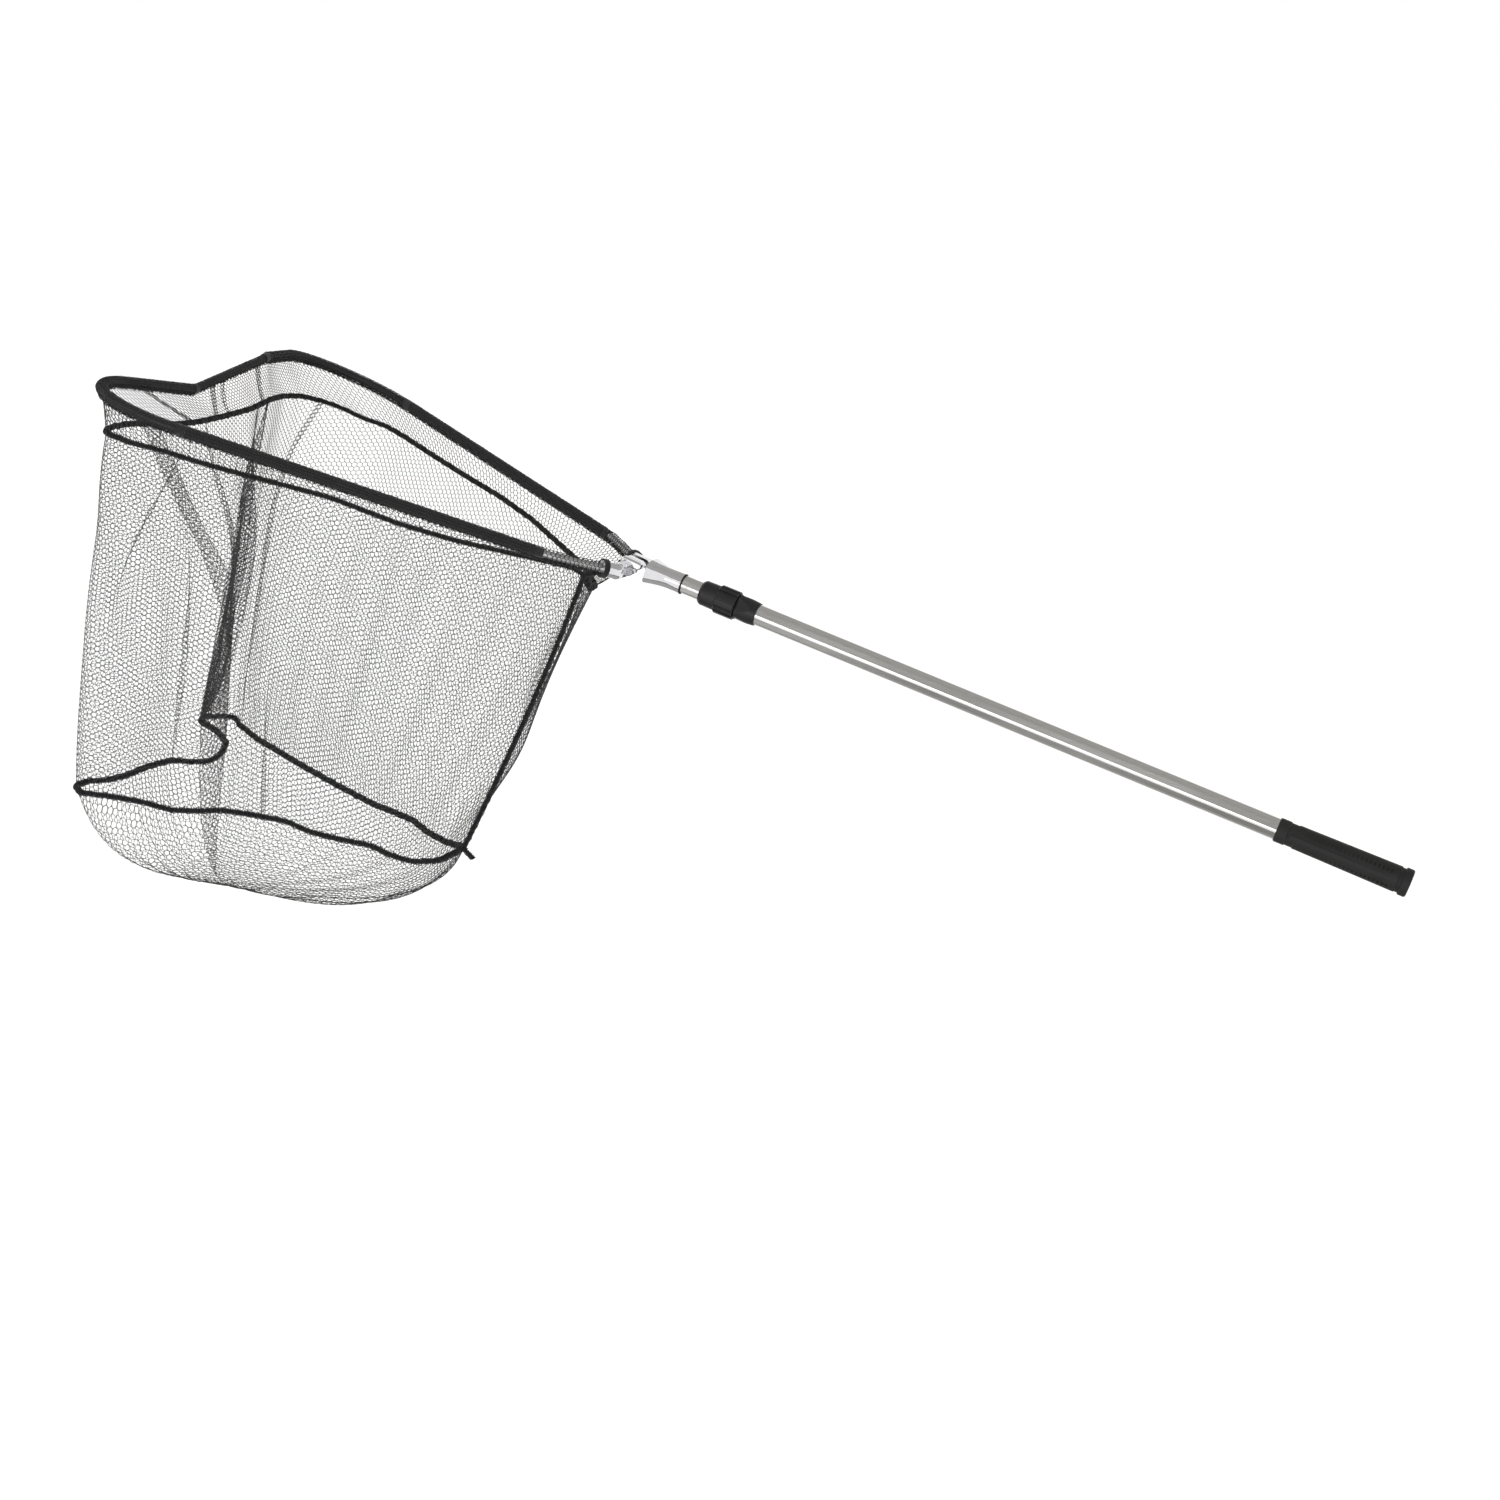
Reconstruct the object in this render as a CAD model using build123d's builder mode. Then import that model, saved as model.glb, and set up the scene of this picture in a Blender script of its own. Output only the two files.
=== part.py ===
from build123d import *
import math
import os

# Folding landing net: telescopic two-section handle with a twist lock, a fishtail sleeve, a head that
# folds up and back about one cross rivet, two splayed arms with curved tips, a front cord and a netting
# bag. Millimetres. +X runs towards the butt of the handle, the net is at -X, +Z is up, and +Y is the
# right-hand side seen from the butt. The origin is the middle of the butt face. The handle rises towards
# the net by SLOPE, which is how the net is carried, and the bag hangs straight down.

SLOPE = 9.5            # rise of the handle towards the net, degrees
RING_LIFT = 2.6        # how much more the frame rises than the handle, degrees

# Stations along the handle, from the butt
FLANGE_END = 8.4
GRIP_END = 138.3
COLLAR_REAR = 714.0
COLLAR_FRONT = 737.4
NUT_REAR = 738.2
RIBS_FRONT = 760.8
NUT_FRONT = 779.8
SLEEVE_REAR = 800.8
SLEEVE_MOUTH = 840.0
PIVOT_S, PIVOT_H = 858.0, -7.0

# Handle tubes: outer diameter, across the eight flats, bore radius
OUTER_D, OUTER_FLATS, OUTER_BORE = 22.4, 21.7, 10.1
INNER_D, INNER_FLATS, INNER_BORE = 19.6, 19.0, 8.6
GRIP_R_FRONT, GRIP_R_REAR, FLANGE_R = 12.2, 13.5, 14.4

# Frame
KNUCKLE_R = 17.2       # rear end of a knuckle about the rivet, so that it clears the sleeve's mouth
CHEEK_IN, CHEEK_OUT, BAR_OUT = 5.3, 13.0, 20.0
ELBOW_S, ELBOW_T, ELBOW_R = 8.0, 34.6, 8.8
SOCKET_R, SOCKET_LENGTH = 8.3, 17.5
BEND_S, BEND_T, BEND_R = 63.5, 91.5, 30.0
ARM_END_S, ARM_END_T = 420.0, 261.9
ARM_R, ARM_BORE, COVER_R = 4.0, 3.0, 5.2
TIP_BEND_R, TIP_TURN, TIP_STRAIGHT, TIP_R = 85.0, 128.6, 100.0, 4.6
TIP_TWIST_LEFT, TIP_TWIST_RIGHT = -2.0, 6.9   # turn of each tip about its arm, degrees
CORD_R = 3.4

# Bag
NET_T = 1.6            # thickness of the netting as a solid
SEAM = 4.6             # width and height of the sewn seams
BAND_TOP, BAND_LOW, SEAM_LOW = -13.0, -37.0, -42.0
BOTTOM_SEAM_Z, BAG_LOW_Z = -205.0, -300.0

os.makedirs("parts", exist_ok=True)

along = Vector(-math.cos(math.radians(SLOPE)), 0, math.sin(math.radians(SLOPE)))
above = Vector(math.sin(math.radians(SLOPE)), 0, math.cos(math.radians(SLOPE)))
SIDE = Plane(origin=(0, 0, 0), x_dir=along, z_dir=(0, 1, 0))
HANDLE_AXIS = Axis((0, 0, 0), tuple(along))

ring_rise = math.radians(SLOPE + RING_LIFT)
ring_along = Vector(-math.cos(ring_rise), 0, math.sin(ring_rise))
ring_above = Vector(math.sin(ring_rise), 0, math.cos(ring_rise))
PIVOT = along * PIVOT_S + above * PIVOT_H
RING = Plane(origin=PIVOT, x_dir=ring_along, z_dir=ring_above)      # local y points to the left side, -Y
RING_SIDE = Plane(origin=PIVOT, x_dir=ring_along, z_dir=(0, 1, 0))


def station(s):
    """A plane across the handle, s from the butt, facing the net; local y is up."""
    return Plane(origin=along * s, x_dir=(0, -1, 0), z_dir=along)


def ring_point(s, t, h=0.0):
    """A point of the frame: s from the rivet, t to the left, h above the frame's plane."""
    return PIVOT + ring_along * s + Vector(0, -t, 0) + ring_above * h


def save(part, label):
    part.label = label
    export_step(part, f"parts/{label}.step")


def save_pair(part, name):
    """Saves a left-hand piece and its mirror image on the right."""
    save(part, f"left_{name}")
    save(mirror(part, about=Plane.XZ), f"right_{name}")


# ---------------------------------------------------------------- handle, fixed pieces
with BuildPart() as outer_tube:
    with BuildSketch(station(FLANGE_END)):
        Circle(OUTER_D / 2)
        RegularPolygon(OUTER_FLATS / 2, 8, major_radius=False, mode=Mode.INTERSECT)
        Circle(OUTER_BORE, mode=Mode.SUBTRACT)
    extrude(amount=736.0 - FLANGE_END)
save(outer_tube.part, "outer_tube")

with BuildPart() as grip_end_cap:
    with BuildSketch(SIDE):
        Polygon((0, 0), (0, FLANGE_R - 1.2), (1.2, FLANGE_R), (7.6, FLANGE_R), (FLANGE_END, FLANGE_R - 0.8),
                (FLANGE_END, 10.0), (22.2, 10.0), (23.7, 9.0), (23.7, 0), align=None)
    revolve(axis=HANDLE_AXIS)
save(grip_end_cap.part, "grip_end_cap")

RIDGE_R = 1.1
with BuildPart() as grip:
    with BuildSketch(SIDE):
        Polygon((FLANGE_END, 0), (FLANGE_END, 12.7), (11.6, 12.7), (12.6, GRIP_R_REAR), (118.0, GRIP_R_FRONT + 0.2),
                (119.0, GRIP_R_FRONT - 0.5), (126.4, GRIP_R_FRONT - 0.5), (127.2, 12.5), (136.8, 12.5),
                (GRIP_END, 11.9), (GRIP_END, 0), align=None)
    revolve(axis=HANDLE_AXIS)
    # Smooth ridge along each side
    for side in (-1, 1):
        with BuildSketch(Plane(origin=along * 20.0, x_dir=(0, -1, 0), z_dir=along)):
            with Locations((side * (GRIP_R_FRONT + 0.3), 0)):
                Ellipse(RIDGE_R, 3.4)
        extrude(amount=104.0)
    # Two rows of short cross grooves on each side, above and below the ridge
    for angle in (36, 144, 216, 324):
        x, y = math.cos(math.radians(angle)), math.sin(math.radians(angle))
        out = Vector(0, -x, 0) + above * y
        row = Plane(origin=along * 67.0 + out * (GRIP_R_FRONT + 0.75), x_dir=along, z_dir=out)
        with Locations(row):
            with GridLocations(4.4, 0, 22, 1):
                Box(1.5, 4.2, 1.3, mode=Mode.SUBTRACT)
    with BuildSketch(station(FLANGE_END)):
        Circle(OUTER_D / 2)
        RegularPolygon(OUTER_FLATS / 2, 8, major_radius=False, mode=Mode.INTERSECT)
    extrude(amount=GRIP_END - FLANGE_END, mode=Mode.SUBTRACT)
save(grip.part, "grip")

# ---------------------------------------------------------------- twist lock
with BuildPart() as lock_collar:
    with BuildSketch(SIDE):
        Polygon((COLLAR_REAR, 0), (COLLAR_REAR, 12.2), (715.0, 12.5), (733.5, 14.2), (736.4, 14.2),
                (COLLAR_FRONT, 13.4), (COLLAR_FRONT, 0), align=None)
    revolve(axis=HANDLE_AXIS)
    # Four flats that run out into triangles on the cone
    for angle in (20, 110, 200, 290):
        x, y = math.cos(math.radians(angle)), math.sin(math.radians(angle))
        out = Vector(0, -x, 0) + above * y
        flat = Plane(origin=along * 722.0 + out * 16.05, x_dir=along, z_dir=out)
        with Locations(flat):
            Box(30, 30, 6, rotation=(0, 4, 0), mode=Mode.SUBTRACT)
    with BuildSketch(station(COLLAR_REAR)):
        Circle(OUTER_D / 2)
        RegularPolygon(OUTER_FLATS / 2, 8, major_radius=False, mode=Mode.INTERSECT)
    extrude(amount=736.0 - COLLAR_REAR, mode=Mode.SUBTRACT)
    with BuildSketch(station(736.0)):
        Circle(OUTER_BORE)
    extrude(amount=2.0, mode=Mode.SUBTRACT)
save(lock_collar.part, "lock_collar")

with BuildPart() as lock_spigot:
    # Threaded spigot that carries the nut
    with BuildSketch(SIDE):
        with BuildLine():
            thread = [(COLLAR_FRONT, OUTER_BORE), (COLLAR_FRONT, 11.6)]
            for i in range(7):
                s = 741.0 + 4.0 * i
                thread += [(s, 11.6), (s + 0.8, 12.2), (s + 1.8, 12.2), (s + 2.6, 11.6)]
            thread += [(769.6, 11.6), (769.6, OUTER_BORE)]
            Polyline(*thread, close=True)
        make_face()
    revolve(axis=HANDLE_AXIS)
save(lock_spigot.part, "lock_spigot")

with BuildPart() as lock_wedge:
    # Split wedge ring that the nut presses on to the inner tube
    with BuildSketch(SIDE):
        Polygon((769.9, 9.9), (769.9, 12.0), (774.6, 12.0), (777.0, 11.0), (777.0, 9.9), align=None)
    revolve(axis=HANDLE_AXIS)
    with Locations(Plane(origin=along * 773.5 + above * 11.0, x_dir=along, z_dir=above)):
        Box(10, 1.6, 6, mode=Mode.SUBTRACT)
save(lock_wedge.part, "lock_wedge")

with BuildPart() as lock_nut:
    with BuildSketch(station(NUT_REAR)):
        Circle(14.5)
        with PolarLocations(14.4, 12):
            Rectangle(2.6, 4.9)
        Circle(15.5, mode=Mode.INTERSECT)
    extrude(amount=RIBS_FRONT - NUT_REAR)
    with BuildSketch(SIDE):
        Polygon((RIBS_FRONT, 0), (RIBS_FRONT, 13.6), (777.2, 13.3), (NUT_FRONT, 11.6), (NUT_FRONT, 0), align=None)
    revolve(axis=HANDLE_AXIS)
    with BuildSketch(SIDE):
        Polygon((NUT_REAR, 0), (NUT_REAR, 12.6), (777.5, 12.6), (777.5, 10.15), (NUT_FRONT, 10.15),
                (NUT_FRONT, 0), align=None)
    revolve(axis=HANDLE_AXIS, mode=Mode.SUBTRACT)
    # Bevel both ends of the ribbed ring
    with BuildSketch(SIDE):
        Polygon((NUT_REAR, 14.4), (NUT_REAR, 16.5), (NUT_REAR + 1.6, 16.5), align=None)
        Polygon((RIBS_FRONT, 14.2), (RIBS_FRONT, 16.5), (RIBS_FRONT - 2.2, 16.5), align=None)
    revolve(axis=HANDLE_AXIS, mode=Mode.SUBTRACT)
save(lock_nut.part, "lock_nut")

# ---------------------------------------------------------------- inner section
PLUG_REAR, PLUG_FRONT, INNER_FRONT = 24.0, 34.0, 806.0
PIN_S, PIN_R = 794.0, 1.5

with BuildPart() as inner_tube:
    with BuildSketch(station(PLUG_FRONT)):
        Circle(INNER_D / 2)
        RegularPolygon(INNER_FLATS / 2, 8, major_radius=False, mode=Mode.INTERSECT)
        Circle(INNER_BORE, mode=Mode.SUBTRACT)
    extrude(amount=INNER_FRONT - PLUG_FRONT)
    with Locations(SIDE.offset(-20) * Location((PIN_S, 0, 0))):
        Cylinder(PIN_R, 60, mode=Mode.SUBTRACT)
save(inner_tube.part, "inner_tube")

with BuildPart() as tube_plug:
    # Guide plug at the inner tube's rear end
    with BuildSketch(SIDE):
        Polygon((PLUG_REAR, 0), (PLUG_REAR, 9.2), (25.0, 9.95), (PLUG_FRONT, 9.95), (PLUG_FRONT, INNER_BORE),
                (52.0, INNER_BORE), (54.0, 7.6), (54.0, 0), align=None)
    revolve(axis=HANDLE_AXIS)
save(tube_plug.part, "tube_plug")

with BuildPart() as head_core:
    # Shank in the tube, collar, and a flat tongue with the eye for the rivet
    with BuildSketch(SIDE):
        Polygon((784.0, 0), (784.0, 7.8), (785.0, INNER_BORE), (INNER_FRONT, INNER_BORE), (INNER_FRONT, 9.5),
                (813.0, 9.5), (816.0, 8.6), (816.0, 0), align=None)
    revolve(axis=HANDLE_AXIS)
    with BuildSketch(SIDE):
        with Locations((814.0, 0)):
            Circle(7.6)
        with Locations((PIVOT_S, PIVOT_H)):
            Circle(7.0)
        make_hull()
    extrude(amount=5.0, both=True)
    with Locations(SIDE * Location((PIVOT_S, PIVOT_H, 0))):
        Cylinder(3.06, 20, mode=Mode.SUBTRACT)
    with Locations(SIDE * Location((PIN_S, 0, 0))):
        Cylinder(PIN_R, 60, mode=Mode.SUBTRACT)
save(head_core.part, "head_core")

with BuildPart() as core_pin:
    with Locations(SIDE * Location((PIN_S, 0, 0))):
        Cylinder(PIN_R, 18.6)
save(core_pin.part, "core_pin")

# ---------------------------------------------------------------- fishtail sleeve
# Station, width, height and squareness of each section; the rear is round and the mouth is flat and wide
SLEEVE_SECTIONS = [(802.3, 22.2, 22.2, 2.0), (807.0, 22.0, 22.0, 2.0), (814.0, 22.6, 21.8, 2.0),
                   (821.0, 26.0, 21.8, 2.15), (828.0, 32.6, 22.9, 2.4), (834.0, 39.4, 24.4, 2.6),
                   (SLEEVE_MOUTH, 46.0, 26.4, 2.8)]
SLEEVE_WALL = 0.95


def oval(width, height, power, count=24):
    """Points of a rounded section that goes from an ellipse at power 2 to a rounded rectangle."""
    points = []
    for i in range(count):
        a = 2 * math.pi * i / count
        c, s = math.cos(a), math.sin(a)
        points.append((width / 2 * math.copysign(abs(c) ** (2 / power), c),
                       height / 2 * math.copysign(abs(s) ** (2 / power), s)))
    return points


with BuildPart() as lock_sleeve:
    for s, width, height, power in SLEEVE_SECTIONS:
        with BuildSketch(station(s)):
            with BuildLine():
                Spline(*oval(width, height, power), periodic=True)
            make_face()
    loft()
    for s, width, height, power in SLEEVE_SECTIONS:
        with BuildSketch(station(s)):
            with BuildLine():
                Spline(*oval(width - 2 * SLEEVE_WALL, height - 2 * SLEEVE_WALL, power), periodic=True)
            make_face()
    loft(mode=Mode.SUBTRACT)
save(lock_sleeve.part, "lock_sleeve")

with BuildPart() as sleeve_ring:
    # Rubber ring that closes the sleeve's rear end
    with BuildSketch(SIDE):
        Polygon((SLEEVE_REAR, 10.15), (SLEEVE_REAR, 10.7), (801.2, 11.2), (802.3, 11.2), (802.3, 10.15), align=None)
    revolve(axis=HANDLE_AXIS)
save(sleeve_ring.part, "sleeve_ring")

# ---------------------------------------------------------------- knuckles and rivet
turn = math.atan2(BEND_T - ELBOW_T, BEND_S - ELBOW_S)
socket_dir = ring_along * math.cos(turn) + Vector(0, -math.sin(turn), 0)
elbow = ring_point(ELBOW_S, ELBOW_T)
SOCKET = Plane(origin=elbow, x_dir=ring_above, z_dir=socket_dir)

with BuildPart() as knuckle:
    # Cheek against the tongue, rounded about the rivet
    with BuildSketch(RING_SIDE.offset(-CHEEK_IN)):
        Circle(KNUCKLE_R)
        with Locations((0, 2.4)):
            Rectangle(2 * KNUCKLE_R, 26.0, mode=Mode.INTERSECT)
    extrude(amount=-(CHEEK_OUT - CHEEK_IN))
    # Rounded bar over the rivet
    with BuildSketch(RING_SIDE.offset(-CHEEK_OUT + 1.0)):
        with Locations((0.6, 10.6)):
            SlotOverall(25.0, 8.6)
    extrude(amount=-(BAR_OUT - CHEEK_OUT + 1.0))
    outer_rim = knuckle.edges().filter_by(lambda e: abs(e.center().Y + BAR_OUT) < 0.01)
    fillet(outer_rim, 2.6)
    # Boss out to the elbow, and the socket that takes the arm
    with BuildSketch(RING):
        with BuildLine():
            Polyline((ELBOW_S, CHEEK_OUT - 1.0), (ELBOW_S + ELBOW_R, CHEEK_OUT - 1.0), (ELBOW_S + ELBOW_R, ELBOW_T))
            RadiusArc((ELBOW_S + ELBOW_R, ELBOW_T), (ELBOW_S, ELBOW_T + ELBOW_R), -ELBOW_R)
            Line((ELBOW_S, ELBOW_T + ELBOW_R), (ELBOW_S, CHEEK_OUT - 1.0))
        make_face()
    revolve(axis=Axis(tuple(ring_point(ELBOW_S, 0)), (0, -1, 0)))
    with BuildSketch(SOCKET):
        Circle(SOCKET_R)
    extrude(amount=SOCKET_LENGTH)
    with BuildSketch(SOCKET.offset(4.0)):
        Circle(ARM_R)
    extrude(amount=20.0, mode=Mode.SUBTRACT)
    # Flat seat round the rivet head
    with Locations(RING_SIDE.offset(-(CHEEK_OUT + 10.0)) * Location((0, 0, 0))):
        Cylinder(7.0, 20.0, mode=Mode.SUBTRACT)
    with Locations(RING_SIDE * Location((0, 0, 0))):
        Cylinder(3.0, 60, mode=Mode.SUBTRACT)
save_pair(knuckle.part, "knuckle")

with BuildPart() as pivot_rivet:
    # The shaft ends flush with the outer faces of both heads
    with BuildSketch(RING_SIDE):
        Circle(3.0)
    extrude(amount=13.8, both=True)
    for side in (-1, 1):
        with BuildSketch(Plane(origin=PIVOT + Vector(0, side * 13.8, 0), x_dir=ring_along, z_dir=(0, side, 0))):
            Circle(5.8)
        extrude(amount=1.8)
        with BuildSketch(Plane(origin=PIVOT + Vector(0, side * 15.6, 0), x_dir=ring_along, z_dir=(0, side, 0))):
            Circle(4.4)
            Circle(2.5, mode=Mode.SUBTRACT)
        extrude(amount=-0.7, mode=Mode.SUBTRACT)
save(pivot_rivet.part, "pivot_rivet")

with BuildPart() as rivet_washer:
    with BuildSketch(RING_SIDE.offset(-CHEEK_OUT)):
        Circle(6.6)
        Circle(3.02, mode=Mode.SUBTRACT)
    extrude(amount=-0.8)
save_pair(rivet_washer.part, "rivet_washer")

# ---------------------------------------------------------------- arms, tips and front cord
arm_dir = (ring_point(ARM_END_S, ARM_END_T) - ring_point(BEND_S, BEND_T)).normalized()
arm_angle = math.atan2(ARM_END_T - BEND_T, ARM_END_S - BEND_S)
arm_start = elbow + socket_dir * 4.2

with BuildPart() as arm_tube:
    with BuildLine():
        FilletPolyline(arm_start, ring_point(BEND_S, BEND_T), ring_point(ARM_END_S, ARM_END_T), radius=BEND_R)
    with BuildSketch(Plane(origin=arm_start, x_dir=ring_above, z_dir=socket_dir)):
        Circle(ARM_R)
        Circle(ARM_BORE, mode=Mode.SUBTRACT)
    sweep()
save_pair(arm_tube.part, "arm_tube")

COVER_START, JOINT_HALF = 6.5, 11.0
arm_length = (ring_point(ARM_END_S, ARM_END_T) - ring_point(BEND_S, BEND_T)).length
with BuildPart() as arm_cover:
    with BuildSketch(Plane(origin=ring_point(BEND_S, BEND_T) + arm_dir * COVER_START, x_dir=ring_above, z_dir=arm_dir)):
        Circle(COVER_R)
        Circle(ARM_R, mode=Mode.SUBTRACT)
    extrude(amount=arm_length - COVER_START - JOINT_HALF - 0.2)
save_pair(arm_cover.part, "arm_cover")

with BuildPart() as tip_joint:
    # Taped joint between an arm and its tip; it also fills the step down to the arm tube
    with BuildSketch(Plane(origin=ring_point(ARM_END_S, ARM_END_T), x_dir=ring_above, z_dir=arm_dir)):
        Circle(5.9)
        Circle(ARM_R, mode=Mode.SUBTRACT)
    extrude(amount=-JOINT_HALF)
save_pair(tip_joint.part, "tip_joint")

tip_ends = {}
for name, side, twist in (("left", 1, TIP_TWIST_LEFT), ("right", -1, TIP_TWIST_RIGHT)):
    end = ring_point(ARM_END_S, side * ARM_END_T)
    ahead = ring_along * math.cos(arm_angle) + Vector(0, -side * math.sin(arm_angle), 0)
    inward = ring_along * math.sin(arm_angle) + Vector(0, side * math.cos(arm_angle), 0)
    across = inward * math.cos(math.radians(twist)) + ring_above * math.sin(math.radians(twist))

    def on_bend(degrees):
        a = math.radians(degrees)
        return end + ahead * (TIP_BEND_R * math.sin(a)) + across * (TIP_BEND_R * (1 - math.cos(a)))

    a = math.radians(TIP_TURN)
    last_dir = ahead * math.cos(a) + across * math.sin(a)
    tip_end = on_bend(TIP_TURN) + last_dir * TIP_STRAIGHT
    tip_ends[name] = (tip_end, last_dir)
    with BuildPart() as tip:
        with BuildLine():
            ThreePointArc(end, on_bend(TIP_TURN / 2), on_bend(TIP_TURN))
            Line(on_bend(TIP_TURN), tip_end)
        with BuildSketch(Plane(origin=end, x_dir=across, z_dir=ahead)):
            Circle(TIP_R)
        sweep()
    save(tip.part, f"{name}_tip")

left_end, right_end = tip_ends["left"][0], tip_ends["right"][0]
cord_dir = (right_end - left_end).normalized()
ENDS_GAP = 6.0
with BuildPart() as front_cord:
    start = left_end + cord_dir * ENDS_GAP
    with BuildSketch(Plane(origin=start, x_dir=ring_above, z_dir=cord_dir)):
        Circle(CORD_R)
    extrude(amount=(right_end - left_end).length - 2 * ENDS_GAP)
save(front_cord.part, "front_cord")

for name, sign in (("left", 1), ("right", -1)):
    # Bound end where the cord meets a tip
    with BuildPart() as cord_end:
        with BuildSketch(Plane(origin=tip_ends[name][0], x_dir=ring_above, z_dir=cord_dir * sign)):
            Circle(5.2)
        extrude(amount=ENDS_GAP)
        with Locations(Location(tip_ends[name][0])):
            Sphere(5.2)
        with BuildSketch(Plane(origin=tip_ends[name][0] - tip_ends[name][1] * 8.0, x_dir=ring_above,
                               z_dir=tip_ends[name][1])):
            Circle(TIP_R)
        extrude(amount=8.0, mode=Mode.SUBTRACT)
    save(cord_end.part, f"{name}_cord_end")

with BuildPart() as hem_binding:
    # Bound end of the netting round the socket's end
    with BuildSketch(SOCKET.offset(SOCKET_LENGTH - 5.5)):
        Circle(10.2)
        Circle(SOCKET_R, mode=Mode.SUBTRACT)
    extrude(amount=5.5)
save_pair(hem_binding.part, "hem_binding")

# ---------------------------------------------------------------- netting bag
# Left half of the mouth loop under the frame, (s, t) in the frame's plane, from the head to the front
MOUTH_HALF = [(40, 0), (47, 36), (75, 78), (150, 118), (250, 164), (350, 211), (420, 243), (466, 251),
              (505, 237), (529, 205), (533, 160), (528, 110), (515, 55), (511, 0)]
# Left half of the loop of the bottom seam, (x, distance from the middle), from the head to the front
FLOOR_HALF = [(-988, 0), (-1004, 34), (-1040, 62), (-1092, 88), (-1160, 112), (-1240, 132), (-1310, 146),
              (-1362, 152), (-1388, 142), (-1402, 118), (-1406, 88), (-1405, 58), (-1403, 28), (-1402, 0)]


def whole(half):
    """A closed loop from its left half, by mirroring it in the middle plane."""
    return half + [(a, -b) for a, b in reversed(half[1:-1])]


def grown(half, by):
    """The half loop grown outwards by a distance, or shrunk by a negative one."""
    points = []
    for i, (a, b) in enumerate(half):
        before = half[i - 1] if i else (half[1][0], -half[1][1])
        after = half[i + 1] if i + 1 < len(half) else (half[-2][0], -half[-2][1])
        da, db = after[0] - before[0], after[1] - before[1]
        length = math.hypot(da, db)
        sign = 1 if half[-1][0] > half[0][0] else -1
        points.append((a - sign * by * db / length, b + sign * by * da / length))
    return points


def mouth_loop(by=0.0):
    """Points of the mouth loop in the frame's plane, grown by a distance."""
    return whole(grown(MOUTH_HALF, by))


def floor_loop(by=0.0, scale=1.0):
    """Points of the bottom seam's loop in a level plane, grown by a distance and scaled about the middle."""
    return [(FLOOR_MIDDLE + (x - FLOOR_MIDDLE) * scale, -y * scale) for x, y in whole(grown(FLOOR_HALF, by))]


def level(z):
    return Plane(origin=(0, 0, z), x_dir=(1, 0, 0), z_dir=(0, 0, 1))


FLOOR_MIDDLE = -1205.0
BAND_OUT = 12.0        # how much wider the band is at its top than at the upper seam

with BuildPart() as net_band:
    for by, mode in ((NET_T / 2, Mode.ADD), (-NET_T / 2, Mode.SUBTRACT)):
        with BuildSketch(RING.offset(BAND_TOP)):
            with BuildLine():
                Spline(*mouth_loop(BAND_OUT + by), periodic=True)
            make_face()
        with BuildSketch(RING.offset(BAND_LOW)):
            with BuildLine():
                Spline(*mouth_loop(by), periodic=True)
            make_face()
        loft(mode=mode)
    # Room for the knuckles and the sleeve when the frame folds back
    with Locations(RING * Location((20, 0, -10))):
        Box(100, 66, 28, mode=Mode.SUBTRACT)
save(net_band.part, "net_band")

with BuildPart() as upper_seam:
    with BuildSketch(RING.offset(BAND_LOW - 0.2)):
        with BuildLine():
            Spline(*mouth_loop(SEAM / 2), periodic=True)
        make_face()
    extrude(amount=-(SEAM - 0.2))
    with BuildSketch(RING.offset(BAND_LOW - 0.2)):
        with BuildLine():
            Spline(*mouth_loop(-SEAM / 2), periodic=True)
        make_face()
    extrude(amount=-(SEAM - 0.2), mode=Mode.SUBTRACT)
save(upper_seam.part, "upper_seam")

with BuildPart() as net_wall:
    for by, mode in ((NET_T / 2, Mode.ADD), (-NET_T / 2, Mode.SUBTRACT)):
        with BuildSketch(RING.offset(SEAM_LOW)):
            with BuildLine():
                Spline(*mouth_loop(by), periodic=True)
            make_face()
        with BuildSketch(level(BOTTOM_SEAM_Z + SEAM / 2 + 0.2)):
            with BuildLine():
                Spline(*floor_loop(by), periodic=True)
            make_face()
        loft(mode=mode)
save(net_wall.part, "net_wall")

with BuildPart() as bottom_seam:
    with BuildSketch(level(BOTTOM_SEAM_Z)):
        with BuildLine():
            Spline(*floor_loop(SEAM / 2), periodic=True)
        make_face()
    extrude(amount=SEAM / 2, both=True)
    with BuildSketch(level(BOTTOM_SEAM_Z)):
        with BuildLine():
            Spline(*floor_loop(-SEAM / 2), periodic=True)
        make_face()
    extrude(amount=SEAM / 2, both=True, mode=Mode.SUBTRACT)
save(bottom_seam.part, "bottom_seam")

# Heights of the bottom panel's sections as shares of its depth, and their scale
PANEL = [(0.0, 1.0), (0.3, 0.96), (0.58, 0.85), (0.82, 0.64), (0.95, 0.4), (1.0, 0.16)]
with BuildPart() as net_bottom:
    panel_top = BOTTOM_SEAM_Z - SEAM / 2 - 0.2
    for by, lift, mode in ((NET_T / 2, 0.0, Mode.ADD), (-NET_T / 2, NET_T, Mode.SUBTRACT)):
        for share, scale in PANEL:
            z = panel_top + (BAG_LOW_Z + lift - panel_top) * share
            with BuildSketch(level(z)):
                with BuildLine():
                    Spline(*floor_loop(by, scale), periodic=True)
                make_face()
        loft(mode=mode)
save(net_bottom.part, "net_bottom")

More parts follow.
